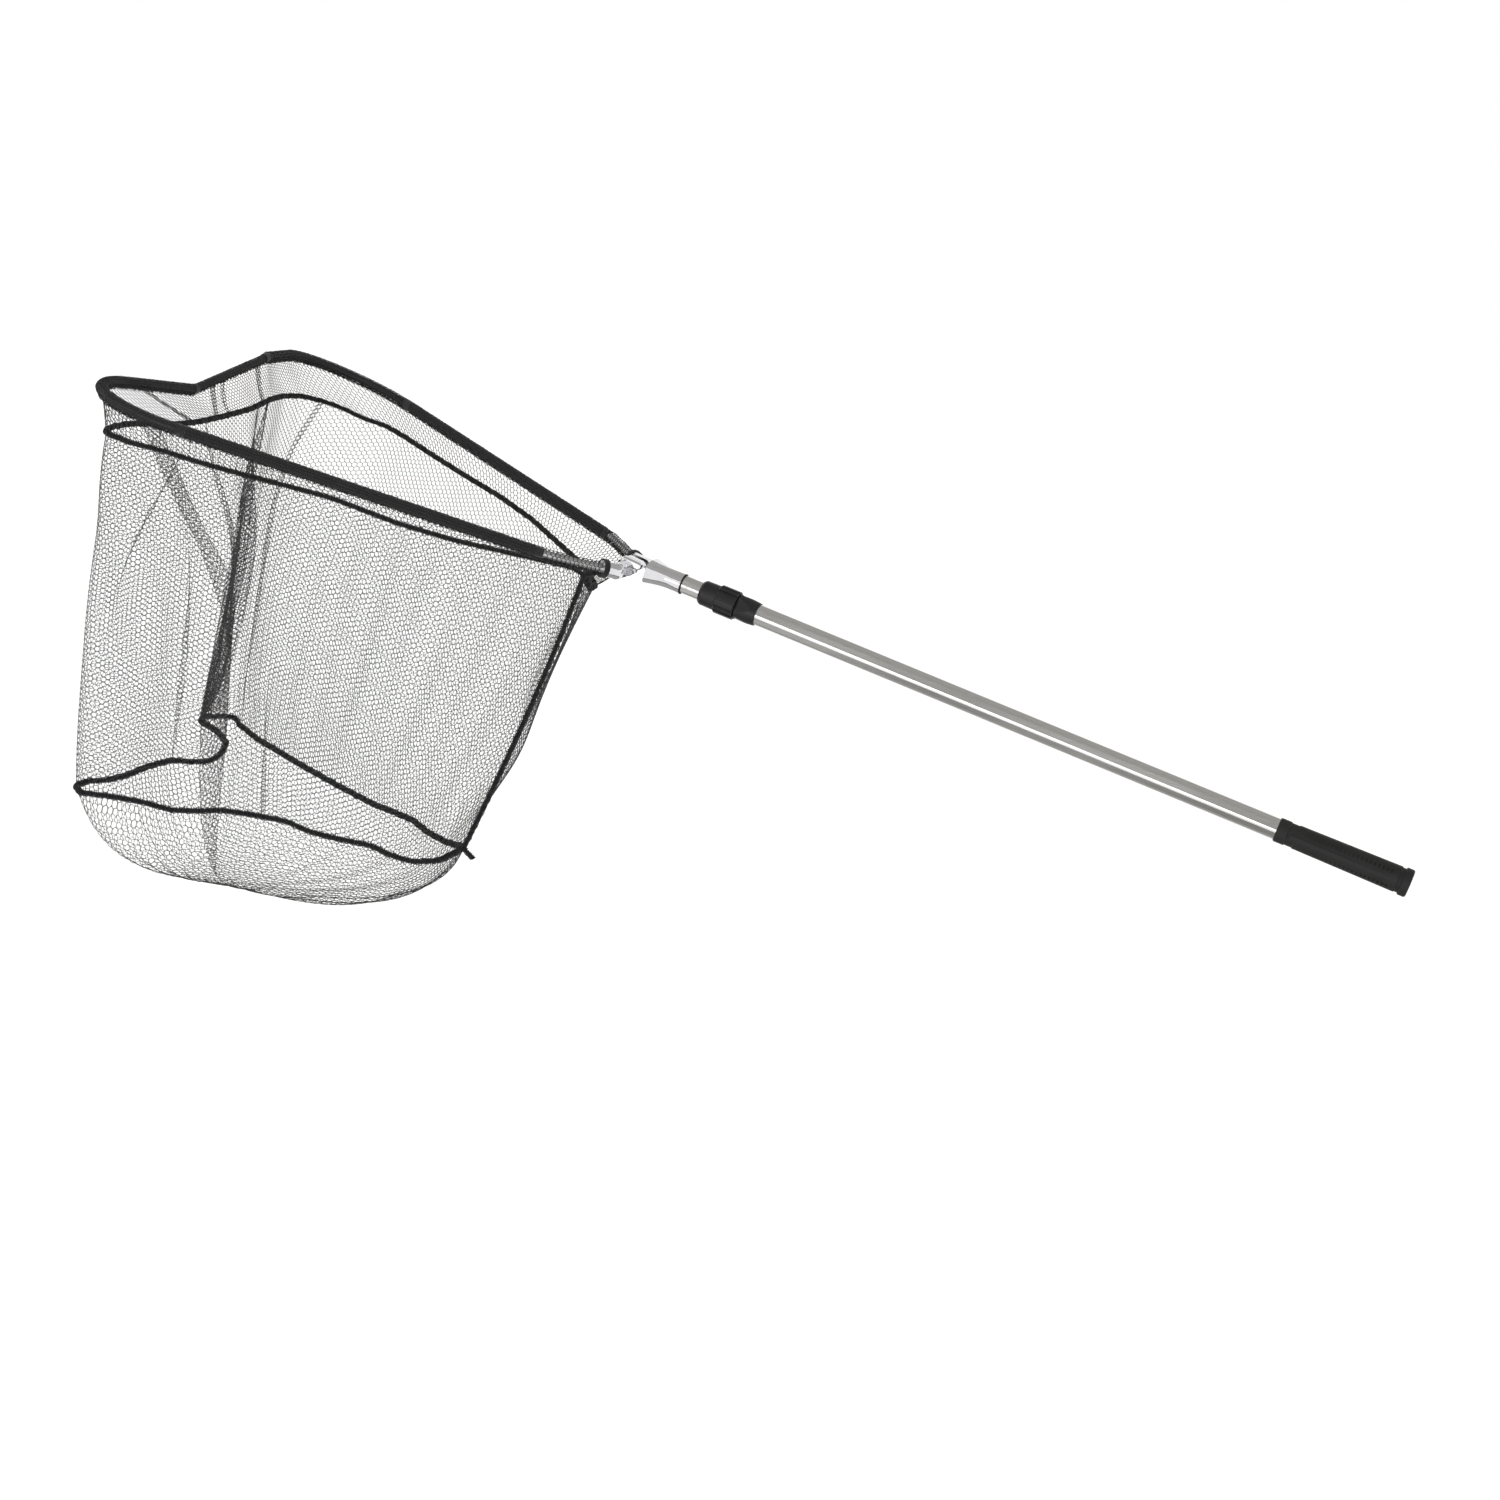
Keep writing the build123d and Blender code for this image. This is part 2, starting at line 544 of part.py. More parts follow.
with BuildPart() as back_seam:
    # Seam down the head end of the wall, from the left binding to the bottom seam
    top = ring_point(33, 37, -17)
    low = Vector(FLOOR_HALF[0][0] + 5.4, 0, BOTTOM_SEAM_Z + 3.0)
    knee = ring_point(34, 9, -48)
    with BuildLine() as seam_path:
        Spline(top, knee, knee + (low - knee) * 0.5, low)
    with BuildSketch(Plane(origin=top, z_dir=seam_path.line % 0)):
        Circle(SEAM / 2 - 0.2)
    sweep()
save(back_seam.part, "back_seam")
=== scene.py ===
import math

import bpy
import numpy as np
from mathutils import Matrix, Vector


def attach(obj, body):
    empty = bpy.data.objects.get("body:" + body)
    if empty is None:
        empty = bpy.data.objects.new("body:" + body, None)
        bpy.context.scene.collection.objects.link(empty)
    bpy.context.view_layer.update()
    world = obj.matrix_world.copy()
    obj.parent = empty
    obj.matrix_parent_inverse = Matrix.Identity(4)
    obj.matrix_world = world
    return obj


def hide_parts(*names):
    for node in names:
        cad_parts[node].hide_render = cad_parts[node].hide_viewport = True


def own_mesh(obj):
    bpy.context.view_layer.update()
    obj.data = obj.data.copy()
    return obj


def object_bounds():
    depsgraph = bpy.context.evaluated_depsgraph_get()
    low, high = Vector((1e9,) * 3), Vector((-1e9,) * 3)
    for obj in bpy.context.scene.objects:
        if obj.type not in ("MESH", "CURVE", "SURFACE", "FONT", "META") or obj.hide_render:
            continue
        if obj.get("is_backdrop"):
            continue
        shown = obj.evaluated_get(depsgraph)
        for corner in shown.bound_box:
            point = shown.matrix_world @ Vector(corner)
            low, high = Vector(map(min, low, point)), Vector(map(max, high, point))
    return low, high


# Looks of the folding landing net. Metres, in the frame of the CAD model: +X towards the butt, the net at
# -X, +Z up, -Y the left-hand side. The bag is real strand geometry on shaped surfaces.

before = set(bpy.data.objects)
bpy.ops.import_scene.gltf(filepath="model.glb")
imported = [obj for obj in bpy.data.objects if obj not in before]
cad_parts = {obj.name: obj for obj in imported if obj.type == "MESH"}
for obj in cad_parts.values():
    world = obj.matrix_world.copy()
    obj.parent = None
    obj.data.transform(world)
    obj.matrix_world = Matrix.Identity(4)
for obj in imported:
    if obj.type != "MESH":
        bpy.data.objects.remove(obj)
low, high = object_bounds()
MM = 0.001
rng = np.random.default_rng(7)

# ---------------------------------------------------------------- camera
camera_data = bpy.data.cameras.new("camera")
camera_data.lens, camera_data.sensor_width = 57.6, 36.0
camera_data.clip_start, camera_data.clip_end = 0.1, 200.0
camera = bpy.data.objects.new("camera", camera_data)
bpy.context.scene.collection.objects.link(camera)
ahead = Vector((-0.266, 0.9339, -0.2389)).normalized()
right = Vector((0.9366, 0.309, 0.1651))
right = (right - ahead * right.dot(ahead)).normalized()
upward = right.cross(ahead)
turn = Matrix((right, upward, -ahead)).transposed().to_4x4()
camera.matrix_world = Matrix.Translation((-0.0102, -2.378, 0.5821)) @ turn
bpy.context.scene.camera = camera

# ---------------------------------------------------------------- places on the handle and the frame
SLOPE, RISE = math.radians(9.5), math.radians(12.1)
ALONG = np.array([-math.cos(SLOPE), 0.0, math.sin(SLOPE)])
ABOVE = np.array([math.sin(SLOPE), 0.0, math.cos(SLOPE)])
RING_ALONG = np.array([-math.cos(RISE), 0.0, math.sin(RISE)])
RING_ABOVE = np.array([math.sin(RISE), 0.0, math.cos(RISE)])
LEFT = np.array([0.0, -1.0, 0.0])
PIVOT = (ALONG * 858.0 - ABOVE * 7.0) * MM


def ring(s, t, h=0.0):
    """A point of the frame: s from the rivet, t to the left, h above the frame's plane, in millimetres."""
    return PIVOT + (RING_ALONG * s + LEFT * t + RING_ABOVE * h) * MM


# ---------------------------------------------------------------- mesh helpers
def new_mesh(name, verts, faces, smooth=True):
    """An object from an array of points and an array of faces of one size, or a list of such arrays."""
    groups = faces if isinstance(faces, list) else [faces]
    mesh = bpy.data.meshes.new(name)
    mesh.vertices.add(len(verts))
    mesh.vertices.foreach_set("co", np.asarray(verts, np.float32).ravel())
    loops = np.concatenate([g.ravel() for g in groups]).astype(np.int32)
    sizes = np.concatenate([np.full(len(g), g.shape[1]) for g in groups]).astype(np.int32)
    starts = np.concatenate([[0], np.cumsum(sizes)[:-1]]).astype(np.int32)
    mesh.loops.add(len(loops))
    mesh.loops.foreach_set("vertex_index", loops)
    mesh.polygons.add(len(sizes))
    mesh.polygons.foreach_set("loop_start", starts)
    mesh.polygons.foreach_set("use_smooth", np.full(len(sizes), smooth))
    mesh.update(calc_edges=True)
    mesh.validate()
    made = bpy.data.objects.new(name, mesh)
    bpy.context.scene.collection.objects.link(made)
    return made


def unit(v):
    return v / np.maximum(np.linalg.norm(v, axis=-1, keepdims=True), 1e-12)


def resampled(points, step, closed=False):
    """Points evenly spaced along a line."""
    points = np.asarray(points, float)
    if closed:
        points = np.vstack([points, points[:1]])
    length = np.concatenate([[0], np.cumsum(np.linalg.norm(np.diff(points, axis=0), axis=1))])
    count = max(3, int(round(length[-1] / step)) + 1)
    at = np.linspace(0, length[-1], count)
    out = np.stack([np.interp(at, length, points[:, i]) for i in range(3)], axis=1)
    return out[:-1] if closed else out


def frames(path, closed=False):
    """Two directions across a line at each of its points, turning as little as possible."""
    ahead_of = np.roll(path, -1, axis=0) - np.roll(path, 1, axis=0)
    if not closed:
        ahead_of[0], ahead_of[-1] = path[1] - path[0], path[-1] - path[-2]
    tangent = unit(ahead_of)
    side = np.zeros_like(path)
    start = np.cross(tangent[0], [0.0, 0.0, 1.0])
    if np.linalg.norm(start) < 0.1:
        start = np.cross(tangent[0], [0.0, 1.0, 0.0])
    side[0] = unit(start)
    for i in range(1, len(path)):
        v = side[i - 1] - tangent[i] * side[i - 1].dot(tangent[i])
        side[i] = unit(v)
    return side, np.cross(tangent, side)


def tube_arrays(path, radius, sides, closed=False):
    """Points and quads of a tube round a line; radius is one number or one for each point."""
    path = np.asarray(path, float)
    n = len(path)
    a, b = frames(path, closed)
    angle = np.arange(sides) * 2 * math.pi / sides
    r = np.broadcast_to(np.asarray(radius, float), (n,))[:, None, None]
    ringed = a[:, None, :] * np.cos(angle)[None, :, None] + b[:, None, :] * np.sin(angle)[None, :, None]
    verts = (path[:, None, :] + ringed * r).reshape(-1, 3)
    i = np.arange(n if closed else n - 1)[:, None]
    j = np.arange(sides)[None, :]
    i2, j2 = (i + 1) % n, (j + 1) % sides
    quads = np.stack([i * sides + j, i * sides + j2, i2 * sides + j2, i2 * sides + j], axis=-1).reshape(-1, 4)
    return verts, quads


def helix(path, radius, pitch, per_turn=9, phase=0.0, wobble=0.0, closed=False):
    """A thread wound round a line."""
    fine = resampled(path, pitch / per_turn, closed)
    a, b = frames(fine, closed)
    angle = phase + np.arange(len(fine)) * 2 * math.pi / per_turn
    r = radius * (1 + wobble * np.sin(np.arange(len(fine)) * 0.37 + phase) * np.cos(np.arange(len(fine)) * 0.113))
    return fine + (a * np.cos(angle)[:, None] + b * np.sin(angle)[:, None]) * r[:, None]


def joined(name, parts, smooth=True):
    """One object from several (points, faces) pairs."""
    verts, faces, base = [], [], 0
    for v, f in parts:
        verts.append(v)
        faces.append(f + base)
        base += len(v)
    return new_mesh(name, np.concatenate(verts), faces, smooth)


# ---------------------------------------------------------------- netting
STRAND_R = 0.38 * MM
KNOT_R = 0.82 * MM
CELL, BAND_CELL, HEM_CELL = 6.2, 6.0, 3.4          # mesh sizes, in millimetres
CROSS_STRAND = 0.72          # radius of a cross strand as a share of the others'


def honeycomb(width, height, cell, turn_degrees, cross=0.72):
    """Knots and strands of flat hexagonal netting over a rectangle, in millimetres. cross is the share of the
    row spacing that the cross strands take; two thirds would be a regular honeycomb."""
    reach = math.hypot(width, height) / 2 + 2 * cell
    row = cell * math.sqrt(3) / 2
    ni, nj = int(reach / cell) + 2, int(reach / row) + 2
    j, i = np.meshgrid(np.arange(-nj, nj + 1), np.arange(-ni, ni + 1))
    x = (i + 0.5 * (j % 2)) * cell
    first = np.stack([x, j * row], axis=-1)
    second = first + np.array([0.0, row * cross])
    knots = np.stack([first, second], axis=2)
    index = np.arange(knots[..., 0].size).reshape(knots.shape[:3])
    strands = [np.stack([index[..., 0], index[..., 1]], -1).reshape(-1, 2)]
    crossing = strands[0].shape[0]
    below = index[:, :-1, 1]
    here = index[:, 1:, 0]
    odd = (j[:, 1:] % 2) == 1
    strands.append(np.stack([here, below], -1).reshape(-1, 2))
    right_one, left_one = np.roll(below, -1, axis=0), np.roll(below, 1, axis=0)
    other = np.where(odd, right_one, left_one)
    keep = np.ones_like(odd)
    keep[-1][odd[-1]] = False
    keep[0][~odd[0]] = False
    strands.append(np.stack([here, other], -1)[keep])
    flat, strands = knots.reshape(-1, 2), np.concatenate(strands)
    strands = np.column_stack([strands, np.arange(len(strands)) < crossing])
    a = math.radians(turn_degrees)
    spin = np.array([[math.cos(a), math.sin(a)], [-math.sin(a), math.cos(a)]])
    flat = flat @ spin + np.array([width / 2, height / 2])
    flat = flat + rng.normal(0, 0.015 * cell, flat.shape)
    margin = 0.6
    inside = ((flat > -margin) & (flat < np.array([width + margin, height + margin]))).all(axis=1)
    strands = strands[inside[strands[:, :2]].all(axis=1)]
    return flat, strands


def netting(name, points, strands, radius=STRAND_R, knot=KNOT_R):
    """Strands as open three-sided prisms, thinner across the rows, with a small knot where they meet."""
    used, ends = np.unique(strands[:, :2], return_inverse=True)
    points, ends = points[used], ends.reshape(-1, 2)
    thick = radius * np.where(strands[:, 2] == 1, CROSS_STRAND, 1.0)[:, None, None]
    p, q = points[ends[:, 0]], points[ends[:, 1]]
    d = unit(q - p)
    ref = np.where(np.abs(d[:, 1:2]) < 0.8, np.array([[0.0, 1.0, 0.0]]), np.array([[1.0, 0.0, 0.0]]))
    a = unit(np.cross(d, ref))
    b = np.cross(d, a)
    angle = np.arange(3) * 2 * math.pi / 3
    across = a[:, None] * np.cos(angle)[None, :, None] + b[:, None] * np.sin(angle)[None, :, None]
    verts = np.concatenate([p[:, None] + across * thick, q[:, None] + across * thick], axis=1).reshape(-1, 3)
    base = np.arange(len(p))[:, None] * 6
    quads = np.concatenate([base + np.array([[k, (k + 1) % 3, 3 + (k + 1) % 3, 3 + k]]) for k in range(3)])
    corners = np.array([[1, 1, 1], [1, -1, -1], [-1, 1, -1], [-1, -1, 1]]) / math.sqrt(3)
    knot_verts = (points[:, None] + corners[None] * knot).reshape(-1, 3)
    kbase = len(verts) + np.arange(len(points))[:, None] * 4
    tris = np.concatenate([kbase + np.array([t]) for t in ([0, 1, 2], [0, 3, 1], [0, 2, 3], [1, 3, 2])])
    return new_mesh(name, np.concatenate([verts, knot_verts]), [quads, tris])


class Loop:
    """A closed line given by points, with shares of the way round fixed at some of them."""

    def __init__(self, points, anchors, smooth=5):
        points = np.asarray(points, float)
        closed = np.vstack([points, points[:1]])
        length = np.concatenate([[0], np.cumsum(np.linalg.norm(np.diff(closed, axis=0), axis=1))])
        where = [length[i] for i, _ in anchors] + [length[-1]]
        share = np.interp(length, where, [u for _, u in anchors] + [1.0])
        self.u = np.linspace(0, 1, 1201)[:-1]
        line = np.stack([np.interp(self.u, share, closed[:, k]) for k in range(3)], axis=1)
        for _ in range(smooth):
            wide = np.vstack([line[-6:], line, line[:6]])
            kernel = np.array([1, 2, 3, 4, 3, 2, 1]) / 16.0
            line = np.stack([np.convolve(wide[:, k], kernel, "same") for k in range(3)], axis=1)[6:-6]
        self.line = np.vstack([line, line[:1]])
        self.u = np.append(self.u, 1.0)

    def at(self, u):
        return np.stack([np.interp(u % 1.0, self.u, self.line[:, k]) for k in range(3)], axis=-1)


# Upper seam, (s, t, h) in the frame's own directions, from the left binding round the left side, the front
# and the right side, and back under the head
UPPER = [(36, 37, -18), (51, 39, -15), (92, 72, -17), (153, 122, -20), (209, 150, -22), (273, 172, -21),
         (317, 203, -22),
         (345, 219, -24), (388, 238, -27), (431, 250, -30), (462, 259, -34), (497, 254, -38), (504, 236, -37),
         (503, 202, -34), (496, 165, -34), (491, 119, -34), (492, 80, -34), (499, 17, -34), (508, -55, -33),
         (524, -129, -31), (533, -176, -33), (530, -216, -34), (514, -245, -36), (493, -262, -38),
         (467, -266, -39),
         (441, -266, -36), (411, -258, -36), (355, -232, -36), (295, -204, -35), (238, -177, -33),
         (181, -148, -34),
         (132, -118, -38), (104, -100, -40), (70, -66, -40), (44, -30, -41), (38, 2, -38), (37, 24, -28)]
# Bottom seam, (x, y, z), the same way round
BOTTOM = [(-987, -18, -207), (-989, -40, -209), (-996, -64, -214), (-1016, -86, -215), (-1037, -95, -211),
          (-1061, -100, -204), (-1097, -104, -205), (-1132, -108, -204), (-1159, -112, -198),
          (-1201, -118, -199),
          (-1232, -124, -201), (-1254, -130, -206), (-1284, -137, -211), (-1316, -142, -209),
          (-1349, -146, -210),
          (-1391, -151, -214), (-1402, -143, -211), (-1402, -122, -210), (-1388, -103, -209),
          (-1379, -76, -206),
          (-1377, -40, -203), (-1371, 4, -202), (-1357, 24, -205), (-1343, 40, -204), (-1338, 58, -196),
          (-1343, 76, -188), (-1361, 91, -184), (-1380, 102, -182), (-1399, 110, -181), (-1404, 120, -178),
          (-1388, 130, -175), (-1371, 138, -173), (-1364, 140, -181), (-1333, 128, -189), (-1248, 96, -199),
          (-1198, 78, -204), (-1139, 58, -209), (-1078, 38, -209), (-1049, 20, -213), (-1016, 2, -213),
          (-995, -8, -209)]

around = np.array([ring(*p) for p in UPPER + UPPER[:1]])
steps = np.concatenate([[0], np.cumsum(np.linalg.norm(np.diff(around, axis=0), axis=1))])
UPPER_LENGTH = steps[-1] / MM
FRONT_LEFT, FRONT_RIGHT, UNDER_HEAD = steps[11] / steps[-1], steps[19] / steps[-1], steps[34] / steps[-1]
upper = Loop(around[:-1], [(0, 0.0)])
bottom = Loop(np.array(BOTTOM) * MM, [(0, 0.0), (16, FRONT_LEFT), (31, FRONT_RIGHT)], smooth=2)


# Frame line: the middle of the rod, from the left binding to the right one, then back under the head
def tip_line(side, twist):
    """Middle line of a curved tip, from its arm to the front cord."""
    slant = math.atan2(261.9 - 91.5, 420.0 - 63.5)
    end = np.array([420.0, side * 261.9, 0.0])
    go = np.array([math.cos(slant), side * math.sin(slant), 0.0])
    inward = np.array([math.sin(slant), -side * math.cos(slant), 0.0])
    over = inward * math.cos(math.radians(twist)) + np.array([0, 0, 1.0]) * math.sin(math.radians(twist))
    line = []
    for d in np.linspace(0, 128.6, 26):
        a = math.radians(d)
        line.append(end + go * 85 * math.sin(a) + over * 85 * (1 - math.cos(a)))
    a = math.radians(128.6)
    last = go * math.cos(a) + over * math.sin(a)
    line += [line[-1] + last * k for k in (25, 50, 75, 100)]
    return [ring(*p) for p in line]


# On the right the inward direction is the mirror image of the left, so both tips use the same helper
def mirrored(points):
    return [np.array([p[0], -p[1], p[2]]) for p in points]


left_tip = tip_line(1, 2.0 * -1)
right_tip = mirrored(tip_line(1, 6.9))
left_arm = [ring(20.5, 47.4), ring(42, 70), ring(52, 80), ring(63.5, 90), ring(78, 98.4), ring(120, 118.5),
            ring(250, 180.6), ring(420, 261.9)]
right_arm = mirrored(left_arm)
under_head = [ring(30, -36, -20), ring(35, -18, -27), ring(36, 0, -29), ring(35, 18, -27), ring(28, 36, -17)]
frame_points = left_arm + left_tip[1:] + right_tip[::-1] + right_arm[::-1][1:] + under_head
count_left, count_tip = len(left_arm), len(left_tip) - 1
edge = Loop(frame_points, [(0, 0.0), (count_left + 12, FRONT_LEFT), (count_left + count_tip, FRONT_RIGHT),
                           (2 * count_left + 2 * count_tip, UNDER_HEAD)], smooth=1)


# ---------------------------------------------------------------- folds
def bell(x, centre, width):
    return np.exp(-((x - centre) / width) ** 2)


def window(v, start, end, soft=0.08):
    return 1 / (1 + np.exp(-(v - start) / soft)) / (1 + np.exp((v - end) / soft))


class Folds:
    """Where the netting doubles back on itself: at each fold the cloth runs forward, back and forward again."""

    def __init__(self, folds):
        self.folds = folds          # (share at the top, share at the bottom, cloth width, start, end, bow)

    def slope(self, u, v):
        total = np.ones_like(u)
        for top_u, low_u, width, start, end, bow in self.folds:
            centre = top_u + (low_u - top_u) * v + bow * 4 * v * (1 - v)
            total = total - 2.6 * window(v, start, end) * np.exp(-((u - centre) / width) ** 4)
        return total

    def shares(self, u, v):
        """Share of the way round for cloth at share u and depth v."""
        fine = np.linspace(0, 1, 4001)
        levels = np.linspace(0, 1, 41)
        tables = []
        for level in levels:
            slope = self.slope(fine, np.full_like(fine, level))
            run = np.concatenate([[0], np.cumsum((slope[1:] + slope[:-1]) / 2) * (fine[1] - fine[0])])
            tables.append(run / run[-1])
        tables = np.array(tables)
        level = np.clip(v, 0, 1) * 40
        i = np.clip(level.astype(int), 0, 39)
        f = level - i
        place = np.clip(u, 0, 1) * 4000
        j = np.clip(place.astype(int), 0, 3999)
        g = place - j
        top_row = tables[i, j] * (1 - g) + tables[i, j + 1] * g
        low_row = tables[i + 1, j] * (1 - g) + tables[i + 1, j + 1] * g
        return top_row * (1 - f) + low_row * f


# The gathered column at the right-hand front corner, the long slanting fold in the front, and thin pleats
wall_folds = Folds([
    (FRONT_RIGHT + 0.004, FRONT_RIGHT - 0.004, 0.0072, 0.04, 1.2, 0.0),
    (FRONT_RIGHT - 0.026, FRONT_RIGHT - 0.034, 0.0085, 0.16, 1.2, 0.0),
    (FRONT_RIGHT + 0.022, FRONT_RIGHT + 0.012, 0.0042, 0.30, 1.2, 0.0),
    (FRONT_LEFT + 0.046, FRONT_RIGHT - 0.068, 0.0058, -0.2, 1.2, -0.006),
    (FRONT_LEFT + 0.120, FRONT_LEFT + 0.150, 0.0024, 0.06, 0.42, 0.0),
    (FRONT_RIGHT + 0.088, FRONT_RIGHT + 0.070, 0.0022, -0.2, 0.85, 0.0),
    (FRONT_LEFT + 0.050, FRONT_LEFT + 0.058, 0.0022, 0.52, 0.95, 0.0),
    (0.250, 0.262, 0.0020, 0.05, 0.30, 0.0),
    (0.170, 0.150, 0.0018, 0.70, 1.2, 0.0),
])


def outward(u, top, low_line):
    """Level direction out of the bag at a share of the way round."""
    step = 0.004
    d = (top.at(u + step) + low_line.at(u + step)) - (top.at(u - step) + low_line.at(u - step))
    return unit(np.stack([d[..., 1], -d[..., 0], np.zeros_like(u)], axis=-1))


middle = np.array([-1.19, -0.01, 0.0])
test_u = np.linspace(0, 1, 50)
facing = outward(test_u, upper, bottom)
if ((upper.at(test_u) - middle)[:, :2] * facing[:, :2]).sum() < 0:
    SIDE_SIGN = -1.0
else:
    SIDE_SIGN = 1.0


def wall_point(u, v, cloth_u):
    """A point of the bag's wall."""
    top, foot = upper.at(u), bottom.at(u)
    out = outward(u, upper, bottom) * SIDE_SIGN
    p = top + (foot - top) * v[:, None]
    belly = np.sin(np.pi * np.clip(v, 0, 1))
    swell = 4.0 + 6.0 * bell(u, 0.16, 0.12) + 10.0 * bell(u, 0.86, 0.09) - 10.0 * bell(u, 0.5, 0.05)
    swell = swell + 30.0 * bell(u, 0.945, 0.03) * window(v, 0.55, 1.3)
    wave = (2.2 * np.sin(cloth_u * 83 + 3 * v) + 1.5 * np.sin(cloth_u * 171 - 5 * v + 1.0)) * belly ** 0.6
    layer = 0.0
    for top_u, low_u, width, start, end, bow in wall_folds.folds:
        centre = top_u + (low_u - top_u) * v + bow * 4 * v * (1 - v)
        layer = layer + 5.0 * (width / 0.012) ** 0.5 * window(v, start, end) * \
            np.tanh((cloth_u - centre) / width * 1.5) * np.exp(-((cloth_u - centre) / width / 1.6) ** 2)
    return p + out * ((swell * belly + wave + layer) * MM)[:, None]


# ---------------------------------------------------------------- the bag
cloth_width, cloth_height = UPPER_LENGTH * 1.06, 455.0
flat, strands = honeycomb(cloth_width, cloth_height, CELL, 36.0)
cloth_u = flat[:, 0] / cloth_width
depth_at = np.linspace(0, 1, 301)
heights = np.linalg.norm(upper.at(depth_at) - bottom.at(depth_at), axis=1) / MM * 1.02
v = flat[:, 1] / np.interp(cloth_u, depth_at, heights)
keep = (v >= -0.004) & (v <= 1.004) & (cloth_u >= 0) & (cloth_u <= 1)
strands = strands[keep[strands[:, :2]].all(axis=1)]
v = np.clip(v, 0, 1)
cloth_u = np.clip(cloth_u, 0, 1)
wall_points = wall_point(wall_folds.shares(cloth_u, v), v, cloth_u)
net_wall = netting("netting_wall", wall_points, strands)

# Band between the frame and the upper seam; its mesh is turned
band_folds = Folds([(FRONT_LEFT + 0.06, FRONT_LEFT + 0.085, 0.0026, -0.2, 1.2, 0.0),
                    (FRONT_LEFT + 0.155, FRONT_LEFT + 0.130, 0.0026, -0.2, 1.2, 0.0),
                    (FRONT_RIGHT - 0.055, FRONT_RIGHT - 0.075, 0.0022, -0.2, 1.2, 0.0),
                    (FRONT_RIGHT + 0.002, FRONT_RIGHT - 0.002, 0.0030, -0.2, 1.2, 0.0)])
BAND_WIDTH, BAND_HEIGHT = 1700.0, 92.0
flat, strands = honeycomb(BAND_WIDTH, BAND_HEIGHT, BAND_CELL, 66.0)
band_u = flat[:, 0] / BAND_WIDTH
band_heights = np.linalg.norm(upper.at(depth_at) - edge.at(depth_at), axis=1) / MM * 1.04
w = flat[:, 1] / np.maximum(np.interp(band_u, depth_at, band_heights), 8.0)
keep = (w >= -0.02) & (w <= 1.02) & (band_u >= 0) & (band_u <= 1)
strands = strands[keep[strands[:, :2]].all(axis=1)]
w, band_u = np.clip(w, 0, 1), np.clip(band_u, 0, 1)
place = band_folds.shares(band_u, w)
top, foot = edge.at(place), upper.at(place)
bulge = np.sin(np.pi * w) * (1.5 + 1.2 * np.sin(band_u * 120))
band_points = top + (foot - top) * w[:, None] + outward(place, edge, upper) * SIDE_SIGN * (bulge * MM)[:,
                                                                                                       None]
net_band = netting("netting_band", band_points, strands, 0.39 * MM, 0.74 * MM)

# Bottom panel: cut round, gathered into the bottom seam
centre = np.array([-1.272, -0.040, -0.311])
panel = 330.0
flat, strands = honeycomb(2 * panel, 2 * panel, CELL, 18.0)
flat = flat - panel
angle = np.arctan2(flat[:, 1], flat[:, 0])
radial = np.hypot(flat[:, 0], flat[:, 1])
rim_u = np.linspace(0, 1, 1200)
rim = bottom.at(rim_u)
rim_angle = np.unwrap(np.arctan2(rim[:, 1] - centre[1], rim[:, 0] - centre[0]))
way = np.sign(rim_angle[-1] - rim_angle[0])
even = way * rim_angle[0] + 2 * math.pi * rim_u
# Partly by direction and partly by length of seam, so that the cloth never runs backwards at the flap
gather = np.maximum.accumulate(0.4 * way * rim_angle + 0.6 * even) + 1e-5 * rim_u
gather = gather[0] + (gather - gather[0]) * 2 * math.pi / (gather[-1] - gather[0])
panel_u = np.interp((way * angle - gather[0]) % (2 * math.pi) + gather[0], gather, rim_u)
edge_point = bottom.at(panel_u)
turned = np.arctan2(edge_point[:, 1] - centre[1], edge_point[:, 0] - centre[0])
reach = np.linalg.norm(edge_point - centre, axis=1) / MM * 1.03
e = radial / reach
keep = e <= 1.003
strands = strands[keep[strands[:, :2]].all(axis=1)]
e = np.clip(e, 0, 1)
towards_head = 0.5 + 0.5 * np.cos(turned - 0.15)
fullness = 0.35 + 0.5 * towards_head
plan = e * (1 - fullness) + np.sin(e * math.pi / 2) * fullness
drop = 1 - e ** (2.7 - 0.6 * towards_head)
pleat = 2.6 * np.sin(turned * 34 + 3 * np.sin(turned * 5)) * e ** 2 * (1 - e) * 4
p = centre + (edge_point - centre) * plan[:, None]
p[:, 2] = edge_point[:, 2] + (centre[2] - edge_point[:, 2]) * drop
p[:, 2] += pleat * MM
sideways = np.stack([-np.sin(turned), np.cos(turned), np.zeros_like(turned)], axis=1)
p += sideways * (2.0 * np.sin(turned * 41 + 1.0) * e ** 3 * (1 - e) * 4 * MM)[:, None]
net_bottom = netting("netting_bottom", p, strands, 0.36 * MM, 0.76 * MM)


# ---------------------------------------------------------------- seams: a lumpy core with thread wound over it
def seam(name, path, radius, closed=True, seed=0):
    line = resampled(path, 1.4 * MM, closed)
    n = len(line)
    lumps = 1 + 0.16 * np.sin(np.arange(n) * 2 * math.pi * 1.4 / 4.3 + seed) + 0.07 * np.sin(np.arange(n) * 0.61)
    parts = [tube_arrays(line, radius * 0.86 * lumps, 8, closed)]
    for phase in (0.0, math.pi):
        thread = helix(line, radius * 1.06, 5.4 * MM, 9, phase, 0.2, closed)
        parts.append(tube_arrays(thread, 0.72 * MM, 4, closed))
    return joined(name, parts)


